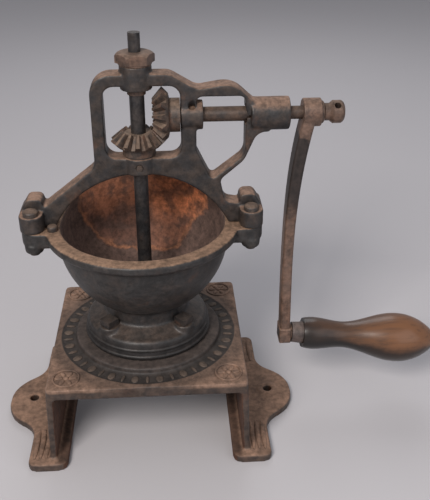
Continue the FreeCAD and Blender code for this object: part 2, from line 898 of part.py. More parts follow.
def ring_screw_places():
    """Centres of the screws of the standing burr."""
    return around(ring_screws_count, ring_screw_circle, 90)


def grinding_ring():
    """The standing burr, coned inside to face the turning one."""
    low = cone_radius(-cone_lift) + grind_gap
    high = cone_radius(ring_height - cone_lift) + grind_gap
    ring = lathe([(low, seat_top), (ring_radius, seat_top), (ring_radius, ring_top), (high, ring_top)])
    return ring.cut([ring_screw(place, slip_fit) for place in ring_screw_places()])


def ring_screw(place, clearance=0.0):
    """A countersunk screw that holds the standing burr up in the collar."""
    radius = ring_screw_radius + clearance
    head = ring_screw_head_radius + clearance
    tip = ring_top + ring_screw_bite
    return lathe([(0, seat_top), (head, seat_top), (radius, seat_top + head - radius),
                  (radius, tip), (0, tip)], place)


def cone_washer():
    """The washer under the turning burr."""
    return tube(cone_washer_radius, shaft_radius + slip_fit, UP * cone_nut_top, UP,
                cone_washer_thickness)


def cone_nut():
    """The nut that holds the turning burr up."""
    bottom = cone_nut_top - cone_nut_height
    nut = hexagon(cone_nut_flats, cone_nut_height, bottom)
    return nut.cut(rod(shaft_radius + slip_fit, UP * bottom, UP, cone_nut_height))


def crank_shaft():
    """The level shaft with the slimmer tenon that carries the crank."""
    inner = gear_pitch_radius - gear_face * math.sqrt(0.5)
    shaft = rod(shaft_radius, apex + ALONG_X * inner, ALONG_X, outer_boss_end - inner)
    tenon = rod(tenon_radius, apex + ALONG_X * outer_boss_end, ALONG_X, tenon_end - outer_boss_end)
    return shaft.fuse(tenon).cut(as_driving(gear_pin(driving_hub_end, slip_fit)))


def arm_side_face():
    """The arm seen from the front: slim, bowed a little, and thicker towards the eye."""
    top_x = eye_start + eye_length / 2
    middle = (drive_axis + pivot.z) / 2
    stations = [
        (top_x - arm_top_shift, drive_axis, arm_top_thickness / 2),
        (top_x - arm_upper_lean, drive_axis - arm_upper_drop, arm_top_thickness / 2),
        ((top_x + pivot.x) / 2 - arm_bow, middle, arm_middle_thickness / 2),
        (pivot.x - arm_lower_bow, (middle + pivot.z) / 2, arm_middle_thickness / 2),
        (pivot.x, pivot.z, arm_middle_thickness / 2),
    ]
    inner = [V(x - half, 0, z) for x, z, half in stations]
    outer = [V(x + half, 0, z) for x, z, half in reversed(stations)]
    edges = []
    for points in (inner, outer):
        curve = Part.BSplineCurve()
        curve.interpolate(points)
        edges.append(curve.toShape())
    edges.insert(1, Part.LineSegment(inner[-1], outer[0]).toShape())
    edges.append(Part.LineSegment(outer[-1], inner[0]).toShape())
    return Part.Face(Part.Wire(edges))


def arm_bar():
    """The bar between the eye and the handle, wider at both ends than in the middle."""
    slab = arm_side_face()
    slab.translate(ALONG_Y * -eye_radius)
    slab = slab.extrude(ALONG_Y * 2 * eye_radius)
    middle = (drive_axis + pivot.z) / 2
    widths = [(arm_eye_width / 2, drive_axis), (arm_middle_width / 2, middle),
              (arm_block_width / 2, pivot.z)]
    left = [V(0, -w, z) for w, z in widths]
    right = [V(0, w, z) for w, z in reversed(widths)]
    edges = []
    for points in (left, right):
        curve = Part.BSplineCurve()
        curve.interpolate(points)
        edges.append(curve.toShape())
    edges.insert(1, Part.LineSegment(left[-1], right[0]).toShape())
    edges.append(Part.LineSegment(right[-1], left[0]).toShape())
    front = Part.Face(Part.Wire(edges)).extrude(ALONG_X * 2 * eye_end)
    bar = slab.common(front)
    long_edges = [e for e in bar.Edges if e.BoundBox.ZLength > crank_throw / 2]
    return bar.makeFillet(arm_round, long_edges)


def crank_arm():
    """The crank: eye, bar and the block that holds the handle's rod."""
    eye_place = V(eye_start, 0, drive_axis)
    eye = rod(eye_radius, eye_place, ALONG_X, eye_length)
    round_ends = [e for e in eye.Edges if e.BoundBox.XLength < 1e-6]
    eye = eye.makeFillet(arm_round / 2, round_ends)
    block = Part.makeBox(block_thickness, block_width, block_height,
                         pivot - V(block_thickness, block_width, block_height) * 0.5)
    block = block.makeFillet(arm_round / 2, block.Edges)
    boss = rod(pivot_boss_radius, pivot, handle_axis, pivot_face)
    arm = arm_bar().fuse([eye, block, boss])
    rod_hole = rod(rod_radius + slip_fit, pivot - handle_axis * block_thickness, handle_axis,
                   3 * block_thickness)
    eye_hole = rod(tenon_radius + slip_fit, eye_place - ALONG_X * arm_round, ALONG_X, eye_length + 2 * arm_round)
    return arm.cut([eye_hole, rod_hole]).removeSplitter()


def crank_nut():
    """The round nut on the end of the shaft, with a cross hole for a bar to turn it."""
    bite = crank_nut_bite
    nut = lathe([
        (0, bite),
        (tenon_radius + slip_fit, bite),
        (tenon_radius + slip_fit, 0),
        (crank_nut_neck + crank_nut_flange, 0),
        (crank_nut_neck + crank_nut_flange, crank_nut_step),
        (crank_nut_neck, 2 * crank_nut_step),
        (crank_nut_neck, crank_nut_neck_end),
        (crank_nut_bulb, crank_nut_bulb_start),
    ] + domed(crank_nut_bulb, crank_nut_bulb_end, crank_nut_length), V(eye_end, 0, drive_axis), ALONG_X)
    tilt = math.radians(oil_hole_tilt)
    across = V(0, -math.cos(tilt), math.sin(tilt))
    centre = V(eye_end + cross_hole_at, 0, drive_axis)
    return nut.cut(rod(cross_hole_radius, centre - across * 2 * crank_nut_bulb, across,
                       4 * crank_nut_bulb))


def handle_rod():
    """The steel rod through the grip, riveted over the end washer."""
    washer_face = recess_floor + end_washer_thickness
    start = -block_thickness / 2
    return lathe([
        (0, start),
        (rod_radius, start),
        (rod_radius, washer_face),
    ] + domed(rivet_radius, washer_face, washer_face + rivet_height), pivot, handle_axis)


def handle_washer():
    """The washer in the recess at the outer end of the grip."""
    return tube(end_washer_radius, rod_radius + slip_fit, pivot + handle_axis * recess_floor,
                handle_axis, end_washer_thickness)


def wooden_grip():
    """The turned wooden grip: bead, waist, swell and rounded end, bored for its rod."""
    waist = grip_start + grip_waist_at
    swell = grip_start + grip_swell_at
    tenon_start = ferrule_start + ferrule_end_wall + slip_fit
    curve = Part.BSplineCurve()
    curve.interpolate([
        upright(grip_shoulder_radius, grip_start),
        upright(grip_bead_radius, grip_start + grip_bead_at),
        upright(grip_waist_radius, waist),
        upright(grip_swell_radius, swell),
        upright(grip_end_radius, grip_end),
    ])
    bore = rod_radius + running_fit
    loop = [
        upright(grip_end_radius, grip_end),
        upright(end_recess_radius, grip_end),
        upright(end_recess_radius, recess_floor),
        upright(bore, recess_floor),
        upright(bore, tenon_start),
        upright(grip_tenon_radius, tenon_start),
        upright(grip_tenon_radius, grip_start),
        upright(grip_shoulder_radius, grip_start),
    ]
    edges = [curve.toShape()] + Part.makePolygon(loop).Edges
    return laid(Part.Face(Part.Wire(edges)).revolve(ORIGIN, UP, 360), pivot, handle_axis)


def grip_ferrule():
    """The metal cap on the inner end of the grip."""
    inside = ferrule_start + ferrule_end_wall
    return lathe([
        (rod_radius + running_fit, ferrule_start),
        (ferrule_inner_radius, ferrule_start),
        (ferrule_outer_radius, grip_start),
        (grip_tenon_radius + slip_fit, grip_start),
        (grip_tenon_radius + slip_fit, inside),
        (rod_radius + running_fit, inside),
    ], pivot, handle_axis)


def group(make, places):
    """Identical fasteners as one group of separate solids."""
    return Part.makeCompound([make(place) for place in places])


NODES = {
    "base_table": base_table,
    "hopper_bowl": hopper_bowl,
    "collar_bolts": lambda: group(collar_bolt, collar_bolt_places()),
    "collar_nuts": lambda: group(collar_nut, collar_bolt_places()),
    "arch_frame": arch_frame,
    "frame_bolts": lambda: group(frame_bolt, frame_bolt_places()),
    "rim_peg": rim_peg,
    "lower_bush": lower_bush,
    "bush_pin": bush_pin,
    "inner_bush": lambda: crank_bush(inner_boss_start, inner_boss_length),
    "outer_bush": lambda: crank_bush(outer_boss_start, outer_boss_length),
    "grinding_ring": grinding_ring,
    "ring_screws": lambda: group(ring_screw, ring_screw_places()),
    "upright_spindle": upright_spindle,
    "driven_gear": lambda: as_driven(bevel_gear(driven_hub_end, 0)),
    "driven_gear_pin": lambda: as_driven(gear_pin(driven_hub_end, 0)),
    "thrust_washer": thrust_washer,
    "grinding_cone": grinding_cone,
    "cone_washer": cone_washer,
    "cone_nut": cone_nut,
    "adjusting_nut": adjusting_nut,
    "crank_shaft": crank_shaft,
    "driving_gear": lambda: as_driving(bevel_gear(driving_hub_end, 0.5)),
    "driving_gear_pin": lambda: as_driving(gear_pin(driving_hub_end, 0)),
    "crank_arm": crank_arm,
    "crank_nut": crank_nut,
    "handle_rod": handle_rod,
    "handle_washer": handle_washer,
    "wooden_grip": wooden_grip,
    "grip_ferrule": grip_ferrule,
}


def main():
    """Builds every piece and writes it as a STEP file named after its node."""
    os.makedirs("parts", exist_ok=True)
    for name, make in NODES.items():
        shape = make()
        solids = len(shape.Solids)
        print(f"{name}: {solids} solid(s), {shape.Volume:.0f} mm3, valid {shape.isValid()}")
        shape.exportStep(f"parts/{name}.step")


main()
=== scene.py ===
"""Dresses the cast-iron counter coffee mill: soft cast forms, relief, rust, dust and turned wood.

Lengths are in metres, in the frame's axes: x to the right, y to the back and z up.
"""

import logging
import math
from dataclasses import dataclass, field
from enum import Enum
from typing import Callable, Sequence

import bmesh
import bpy
from mathutils import Matrix, Vector, noise


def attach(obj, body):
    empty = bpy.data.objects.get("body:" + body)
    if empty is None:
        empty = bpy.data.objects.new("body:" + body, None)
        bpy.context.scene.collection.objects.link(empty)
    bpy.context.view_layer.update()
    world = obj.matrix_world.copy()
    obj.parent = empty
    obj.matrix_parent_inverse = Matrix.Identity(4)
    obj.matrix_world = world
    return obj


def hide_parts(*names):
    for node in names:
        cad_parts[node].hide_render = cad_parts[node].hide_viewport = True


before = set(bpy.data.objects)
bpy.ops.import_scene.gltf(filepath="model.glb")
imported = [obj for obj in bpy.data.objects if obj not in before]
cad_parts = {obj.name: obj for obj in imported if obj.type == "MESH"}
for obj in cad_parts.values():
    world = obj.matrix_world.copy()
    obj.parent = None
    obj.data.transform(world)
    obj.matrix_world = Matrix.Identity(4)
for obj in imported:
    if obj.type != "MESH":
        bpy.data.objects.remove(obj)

LOG = logging.getLogger("coffee_mill")
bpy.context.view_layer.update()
MM = 0.001
ROOT_BODY = "root"
FULL_TURN = 2 * math.pi
CORNERS = ((-1, -1), (-1, 1), (1, -1), (1, 1))
NOISE_MIDDLE = 0.5
NUMBER_RESULTS = ("LENGTH", "DISTANCE", "DOT_PRODUCT")
# The mix node's colour sockets go by number, because its other kinds use the same names.
MIX_AMOUNT = 0
MIX_FIRST = 6
MIX_SECOND = 7
MIX_RESULT = 2

Colour = tuple[float, float, float]
Place = tuple[float, float, float]


class Axis(Enum):
    """The parts of a vector, by their output's number."""

    X = 0
    Y = 1
    Z = 2


@dataclass(frozen=True)
class Step:
    """A smooth step: where it starts and ends, and its results before and after."""

    start: float
    end: float
    before: float = 0.0
    after: float = 1.0


@dataclass(frozen=True)
class NoiseLayer:
    """A noise: its scale, its octaves and how strong the fine octaves are."""

    scale: float
    detail: float = 4.0
    roughness: float = 0.55


class Tree:
    """A thin wrapper that adds and links shader nodes."""

    def __init__(self, tree: bpy.types.NodeTree) -> None:
        """Keeps the node tree of a material or a group to build in."""
        self.tree = tree

    def add(self, kind: str, **settings: object) -> bpy.types.Node:
        """Adds a node and sets its properties.

        Args:
            kind: The node's type name.
            **settings: Properties to set on the node.

        Returns:
            The new node.
        """
        node = self.tree.nodes.new(kind)
        for name, value in settings.items():
            setattr(node, name, value)
        return node

    def feed(self, node: bpy.types.Node, socket: str | int, source: object) -> None:
        """Links a socket to an output, or sets its value.

        Args:
            node: The node that is fed.
            socket: The input's name or number.
            source: An output socket, or a plain value.
        """
        target = node.inputs[socket]
        if isinstance(source, bpy.types.NodeSocket):
            self.tree.links.new(source, target)
        elif isinstance(source, tuple) and len(source) == 3 and target.type == "RGBA":
            target.default_value = (*source, 1.0)
        else:
            target.default_value = source

    def math(self, operation: str, a: object, b: object = 0.0) -> object:
        """A math node's result.

        Args:
            operation: The math operation.
            a: The first value or output.
            b: The second value or output.

        Returns:
            The output socket.
        """
        node = self.add("ShaderNodeMath", operation=operation)
        self.feed(node, 0, a)
        self.feed(node, 1, b)
        return node.outputs[0]

    def plus(self, a: object, b: object) -> object:
        """The sum of two values or outputs."""
        return self.math("ADD", a, b)

    def minus(self, a: object, b: object) -> object:
        """The difference of two values or outputs."""
        return self.math("SUBTRACT", a, b)

    def times(self, first: object, *others: object) -> object:
        """The product of values or outputs.

        Args:
            first: The first value or output.
            *others: What it is multiplied by, in order.

        Returns:
            The output socket.
        """
        result = first
        for other in others:
            result = self.math("MULTIPLY", result, other)
        return result

    def vector(self, operation: str, first: object, second: object = None) -> object:
        """A vector math node's result.

        Args:
            operation: The vector operation.
            first: The first vector output.
            second: The second vector or output, or a number to scale by.

        Returns:
            The output socket, a number or a vector as the operation has it.
        """
        node = self.add("ShaderNodeVectorMath", operation=operation)
        self.feed(node, 0, first)
        if second is not None:
            self.feed(node, "Scale" if operation == "SCALE" else 1, second)
        return node.outputs["Value" if operation in NUMBER_RESULTS else "Vector"]

    def ramp(self, value: object, start: object, end: object, before: object = 0.0,
             after: object = 1.0) -> object:
        """A smooth step of a value, from numbers or outputs.

        Args:
            value: The output to remap.
            start: Where the step starts.
            end: Where it ends.
            before: The result before the step.
            after: The result after it.

        Returns:
            The output socket.
        """
        node = self.add("ShaderNodeMapRange", interpolation_type="SMOOTHSTEP")
        for socket, source in enumerate((value, start, end, before, after)):
            self.feed(node, socket, source)
        return node.outputs[0]

    def step(self, value: object, step: Step) -> object:
        """A smooth step of a value, from a named step."""
        return self.ramp(value, step.start, step.end, step.before, step.after)

    def mix(self, amount: object, first: object, second: object) -> object:
        """A mix of two colours.

        Args:
            amount: How much of the second shows.
            first: A colour or output.
            second: A colour or output.

        Returns:
            The colour output.
        """
        node = self.add("ShaderNodeMix", data_type="RGBA")
        self.feed(node, MIX_AMOUNT, amount)
        self.feed(node, MIX_FIRST, first)
        self.feed(node, MIX_SECOND, second)
        return node.outputs[MIX_RESULT]

    def noise(self, coords: object, layer: NoiseLayer, base: object = None) -> object:
        """A noise texture's value.

        Args:
            coords: The coordinate output.
            layer: The noise.
            base: An output that the layer's scale is a share of, if there is one.

        Returns:
            The value output.
        """
        node = self.add("ShaderNodeTexNoise")
        self.feed(node, "Vector", coords)
        self.feed(node, "Scale", layer.scale if base is None else self.times(base, layer.scale))
        node.inputs["Detail"].default_value = layer.detail
        node.inputs["Roughness"].default_value = layer.roughness
        return node.outputs[0]

    def wander(self, coords: object, layer: NoiseLayer, reach: object = 1.0, base: object = None) -> object:
        """A noise that goes to both sides of zero, as far as its reach from end to end."""
        return self.times(self.minus(self.noise(coords, layer, base), NOISE_MIDDLE), reach)

    def part(self, vector: object, axis: Axis) -> object:
        """One part of a vector output.

        Args:
            vector: The vector output.
            axis: Which part.

        Returns:
            The value output.
        """
        node = self.add("ShaderNodeSeparateXYZ")
        self.feed(node, 0, vector)
        return node.outputs[axis.value]

    def bump(self, shader: bpy.types.Node, height: object, strength: float, distance: float) -> None:
        """Gives a shader a bumpy surface.

        Args:
            shader: The Principled shader.
            height: The height output.
            strength: How strong the bumps are.
            distance: How high they are, in metres.
        """
        node = self.add("ShaderNodeBump")
        node.inputs["Strength"].default_value = strength
        node.inputs["Distance"].default_value = distance
        self.feed(node, "Height", height)
        self.feed(shader, "Normal", node.outputs[0])

    def use(self, group: bpy.types.NodeTree, **inputs: object) -> bpy.types.Node:
        """Places a node group.

        Args:
            group: The shader group.
            **inputs: Values for its named inputs.

        Returns:
            The group node.
        """
        node = self.add("ShaderNodeGroup")
        node.node_tree = group
        for name, source in inputs.items():
            self.feed(node, name.title(), source)
        return node


@dataclass(frozen=True)
class ShaderNoises:
    """The noises in the shared effects; their scales are shares of the effect's own scale."""

    grain_fine: NoiseLayer = NoiseLayer(1.0, 3.0, 0.6)
    grain_middle: NoiseLayer = NoiseLayer(0.4, 4.0, 0.7)
    grain_broad: NoiseLayer = NoiseLayer(0.13, 5.0, 0.62)
    pit_scale: float = 0.35
    pit: Step = Step(0.05, 0.35)
    fine_height: float = 0.35
    broad_height: float = 0.9
    pit_height: float = 0.25
    broad_tone: float = 0.45
    middle_tone: float = 0.55
    patch: NoiseLayer = NoiseLayer(1.0, 6.0, 0.6)
    patch_none: float = 0.75
    patch_span: float = 0.5
    dust: NoiseLayer = NoiseLayer(1.0, 5.0, 0.65)


NOISES = ShaderNoises()


class ShaderGroups:
    """The effects that several finishes share, each built once."""

    def __init__(self) -> None:
        """Builds every group."""
        patches = {"Scale": 60.0, "Amount": 0.5, "Softness": 0.08, "Shift": 0.0}
        dust = {"Start": 0.2, "End": 0.75, "Breakup": 0.35, "Scale": 120.0}
        self.grain = self._group("cast_grain", {"Scale": 900.0}, ("Height", "Tone"), self._grain)
        self.patches = self._group("patches", patches, ("Mask",), self._patches)
        self.dust = self._group("settled_dust", dust, ("Mask",), self._dust)

    @staticmethod
    def _group(name: str, inputs: dict[str, float], outputs: Sequence[str],
               fill: Callable[[Tree, bpy.types.Node], Sequence[object]]) -> bpy.types.NodeTree:
        """Makes a group with named sockets and fills it.

        Args:
            name: The group's name.
            inputs: Input names with their defaults.
            outputs: Output names.
            fill: Builds the inside and returns one output per name.

        Returns:
            The group.
        """
        group = bpy.data.node_groups.new(name, "ShaderNodeTree")
        for label, value in inputs.items():
            socket = group.interface.new_socket(label, in_out="INPUT", socket_type="NodeSocketFloat")
            socket.default_value = value
        for label in outputs:
            group.interface.new_socket(label, in_out="OUTPUT", socket_type="NodeSocketFloat")
        tree = Tree(group)
        results = fill(tree, tree.add("NodeGroupInput"))
        end = tree.add("NodeGroupOutput")
        for number, result in enumerate(results):
            group.links.new(result, end.inputs[number])
        return group

    @staticmethod
    def _grain(tree: Tree, given: bpy.types.Node) -> Sequence[object]:
        """Sandy grain with pits, for castings.

        Args:
            tree: The group's tree.
            given: Its input node.

        Returns:
            The height and the tone.
        """
        coords = tree.add("ShaderNodeTexCoord").outputs["Object"]
        scale = given.outputs["Scale"]
        fine = tree.noise(coords, NOISES.grain_fine, scale)
        middle = tree.noise(coords, NOISES.grain_middle, scale)
        broad = tree.noise(coords, NOISES.grain_broad, scale)
        cells = tree.add("ShaderNodeTexVoronoi")
        tree.feed(cells, "Vector", coords)
        tree.feed(cells, "Scale", tree.times(scale, NOISES.pit_scale))
        pits = tree.step(cells.outputs["Distance"], NOISES.pit)
        height = tree.plus(tree.times(fine, NOISES.fine_height), tree.times(broad, NOISES.broad_height))
        height = tree.plus(height, tree.times(pits, NOISES.pit_height))
        tone = tree.plus(tree.times(broad, NOISES.broad_tone), tree.times(middle, NOISES.middle_tone))
        return height, tone

    @staticmethod
    def _patches(tree: Tree, given: bpy.types.Node) -> Sequence[object]:
        """Ragged patches, for rust and wear.

        Args:
            tree: The group's tree.
            given: Its input node.

        Returns:
            The mask.
        """
        coords = tree.add("ShaderNodeTexCoord").outputs["Object"]
        moved = tree.vector("ADD", coords, given.outputs["Shift"])
        value = tree.noise(moved, NOISES.patch, given.outputs["Scale"])
        level = tree.minus(NOISES.patch_none, tree.times(given.outputs["Amount"], NOISES.patch_span))
        softness = given.outputs["Softness"]
        return (tree.ramp(value, tree.minus(level, softness), tree.plus(level, softness)),)

    @staticmethod
    def _dust(tree: Tree, given: bpy.types.Node) -> Sequence[object]:
        """Dust and dry rust that settle on faces that look up.

        Args:
            tree: The group's tree.
            given: Its input node.

        Returns:
            The mask.
        """
        source = tree.add("ShaderNodeTexCoord")
        rise = tree.part(source.outputs["Normal"], Axis.Z)
        lift = tree.wander(source.outputs["Object"], NOISES.dust, given.outputs["Breakup"],
                           given.outputs["Scale"])
        return (tree.ramp(tree.plus(rise, lift), given.outputs["Start"], given.outputs["End"]),)


GROUPS = ShaderGroups()


@dataclass(frozen=True)
class Patches:
    """Ragged patches: their scale, how much they cover, how soft their edge is, and a shift."""

    scale: float
    amount: float
    softness: float
    shift: float

    def mask(self, tree: Tree) -> object:
        """Where the patches are.

        Args:
            tree: The tree that they go into.

        Returns:
            The mask output.
        """
        node = tree.use(GROUPS.patches, scale=self.scale, amount=self.amount, softness=self.softness,
                        shift=self.shift)
        return node.outputs[0]


class Finish:
    """A surface finish that makes its own material once."""

    name: str

    def material(self) -> bpy.types.Material:
        """The finish's material.

        Returns:
            The material, made at the first call.
        """
        found = bpy.data.materials.get(self.name)
        if found is not None:
            return found
        made = bpy.data.materials.new(self.name)
        made.use_nodes = True
        made.node_tree.nodes.clear()
        tree = Tree(made.node_tree)
        shader = tree.add("ShaderNodeBsdfPrincipled")
        out = tree.add("ShaderNodeOutputMaterial")
        made.node_tree.links.new(shader.outputs[0], out.inputs[0])
        self.paint(tree, shader)
        return made

    def paint(self, tree: Tree, shader: bpy.types.Node) -> None:
        """Feeds the material's Principled shader."""
        raise NotImplementedError


@dataclass(frozen=True)
class IronFinish(Finish):
    """Old cast iron: dark skin, brown bloom, tan dust on top and orange rust in patches."""

    name: str
    skin: Colour = (0.024, 0.0215, 0.0215)
    bloom: Colour = (0.045, 0.033, 0.027)
    dust: Colour = (0.225, 0.138, 0.097)
    rust: Colour = (0.140, 0.060, 0.032)
    bloom_amount: float = 0.5
    bloom_softness: float = 0.14
    bloom_share: float = 1.7
    bloom_shift: float = 0.3
    dust_amount: float = 0.9
    dust_start: float = 0.35
    dust_end: float = 0.95
    dust_breakup: float = 0.55
    dust_scale: float = 140.0
    dust_floor: float = 0.0
    dust_fade: float = 5.0 * MM
    dust_below: float = 0.12
    rust_amount: float = 0.2
    rust_softness: float = 0.09
    rust_strength: float = 0.4
    rust_scale: float = 55.0
    grain_scale: float = 700.0
    grain_depth: float = 0.35
    grain_height: float = 0.8 * MM
    tone: Step = Step(0.33, 0.67, 0.55, 1.45)
    gloss: float = 0.50
    dull: float = 0.85
    dull_cover: float = 0.8
    metallic: float = 0.25
    shift: float = 0.0

    def paint(self, tree: Tree, shader: bpy.types.Node) -> None:
        """Feeds the shader with skin, bloom, dust and rust.

        Args:
            tree: The material's tree.
            shader: Its Principled shader.
        """
        grain = tree.use(GROUPS.grain, scale=self.grain_scale)
        bloom = Patches(self.rust_scale * self.bloom_share, self.bloom_amount, self.bloom_softness,
                        self.shift + self.bloom_shift)
        rust = Patches(self.rust_scale, self.rust_amount, self.rust_softness, self.shift)
        dust = tree.use(GROUPS.dust, start=self.dust_start, end=self.dust_end, breakup=self.dust_breakup,
                        scale=self.dust_scale)
        colour = tree.mix(bloom.mask(tree), self.skin, self.bloom)
        rust_mask = tree.times(rust.mask(tree), self.rust_strength)
        colour = tree.mix(rust_mask, colour, self.rust)
        height = tree.part(tree.add("ShaderNodeTexCoord").outputs["Object"], Axis.Z)
        settled = tree.ramp(height, self.dust_floor - self.dust_fade, self.dust_floor, self.dust_below)
        dust_mask = tree.times(dust.outputs[0], self.dust_amount, settled)
        colour = tree.mix(dust_mask, colour, self.dust)
        colour, rust_mask = self.special(tree, colour, rust_mask)
        tone = tree.step(grain.outputs["Tone"], self.tone)
        tree.feed(shader, "Base Color", tree.vector("SCALE", colour, tone))
        cover = tree.math("MAXIMUM", dust_mask, rust_mask)
        tree.feed(shader, "Roughness", tree.ramp(cover, 0.0, self.dull_cover, self.gloss, self.dull))
        shader.inputs["Metallic"].default_value = self.metallic
        tree.bump(shader, grain.outputs["Height"], self.grain_depth, self.grain_height)

    def special(self, tree: Tree, colour: object, rust_mask: object) -> tuple[object, object]:
        """The colour and the rust mask, with what only one piece shows."""
        return colour, rust_mask


@dataclass(frozen=True)
class BowlFinish(IronFinish):
    """The bowl's iron: rust inside with painted light and shade, dusty under an old stain line, and a darker
    collar.
    """

    collar: Colour = (0.017, 0.015, 0.0145)
    collar_darkening: Step = Step(108.0 * MM, 100.0 * MM, 0.0, 0.7)
    ball_height: float = 188.0 * MM
    hollow: Step = Step(69.5 * MM, 70.6 * MM, 1.0, 0.0)
    inside_bright: Colour = (0.66, 0.232, 0.102)
    inside_dark: Colour = (0.082, 0.051, 0.042)
    inside_dusty: Colour = (0.114, 0.069, 0.054)
    spots: Patches = Patches(62.0, 0.54, 0.13, 2.9)
    spot_light: Step = Step(0.0, 1.0, 0.3)
    # Painted light: the orange inside is brighter towards the right side and the top, and darker low in the
    # bowl.
    side_light: Step = Step(-12.0 * MM, 26.0 * MM, 0.40)
    height_light: Step = Step(158.0 * MM, 190.0 * MM, 0.25)
    # Painted shadow of the arch on the top of the inside.
    arch_shade: Step = Step(203.0 * MM, 214.0 * MM, 0.0, 0.6)
    specks: Patches = Patches(170.0, 0.5, 0.2, 4.1)
    speck_strength: float = 0.6
    stain_centre: Place = (0.0, 0.066, 0.200)
    stain_noise: NoiseLayer = NoiseLayer(38.0)
    stain_wander: float = 26.0 * MM
    stain_beyond: Step = Step(60.0 * MM, 65.0 * MM)
    stain_line: Colour = (0.42, 0.175, 0.085)
    line_rise: Step = Step(58.0 * MM, 61.0 * MM)
    line_fall: Step = Step(64.0 * MM, 61.0 * MM)
    line_strength: float = 0.2
    line_specks: float = 0.5

    def special(self, tree: Tree, colour: object, rust_mask: object) -> tuple[object, object]:
        """Paints the inside of the bowl and its collar.

        Args:
            tree: The material's tree.
            colour: The colour so far.
            rust_mask: The rust so far.

        Returns:
            The colour and the rust mask.
        """
        coords = tree.add("ShaderNodeTexCoord").outputs["Object"]
        height = tree.part(coords, Axis.Z)
        # Darker below the top of the collar.
        colour = tree.mix(tree.step(height, self.collar_darkening), colour, self.collar)
        inside = self.inside(tree, coords, height)
        colour = tree.mix(inside, colour, self.raw(tree, coords, height))
        return colour, tree.math("MAXIMUM", rust_mask, inside)

    def inside(self, tree: Tree, coords: object, height: object) -> object:
        """Where the surface belongs to the hollow: a ball below its centre, a bore above it.

        Args:
            tree: The material's tree.
            coords: The coordinate output.
            height: The coordinate's height.

        Returns:
            The mask.
        """
        below = tree.math("MINIMUM", tree.minus(height, self.ball_height), 0.0)
        place = tree.add("ShaderNodeCombineXYZ")
        for socket, source in enumerate((tree.part(coords, Axis.X), tree.part(coords, Axis.Y), below)):
            tree.feed(place, socket, source)
        return tree.step(tree.vector("LENGTH", place.outputs[0]), self.hollow)

    def raw(self, tree: Tree, coords: object, height: object) -> object:
        """The rust inside: dark and orange above the stain line, dusty below it, with painted light that
        brightens the orange towards the right side and the top, and a painted shadow of the arch along the
        top.

        Args:
            tree: The material's tree.
            coords: The coordinate output.
            height: The coordinate's height.

        Returns:
            The colour output.
        """
        wander = tree.wander(coords, self.stain_noise, self.stain_wander)
        reach = tree.plus(tree.vector("DISTANCE", coords, self.stain_centre), wander)
        specks = self.specks.mask(tree)
        # Painted light and shade: brighter towards the right side and the top of the hollow, darker at its
        # bottom.
        side = tree.step(tree.plus(tree.part(coords, Axis.X), wander), self.side_light)
        lit = tree.step(height, self.height_light)
        bright = tree.times(side, lit, tree.step(self.spots.mask(tree), self.spot_light))
        upper = tree.mix(bright, self.inside_dark, self.inside_bright)
        lower = tree.mix(tree.times(specks, self.speck_strength), self.inside_dusty, self.inside_dark)
        raw = tree.mix(tree.step(reach, self.stain_beyond), upper, lower)
        line = tree.times(tree.step(reach, self.line_rise), tree.step(reach, self.line_fall))
        line = tree.times(line, tree.plus(self.line_strength, tree.times(specks, self.line_specks)))
        # Painted shadow of the arch: the top of the inside is darkened with the collar's colour.
        shade = tree.step(height, self.arch_shade)
        return tree.mix(shade, tree.mix(line, raw, self.stain_line), self.collar)


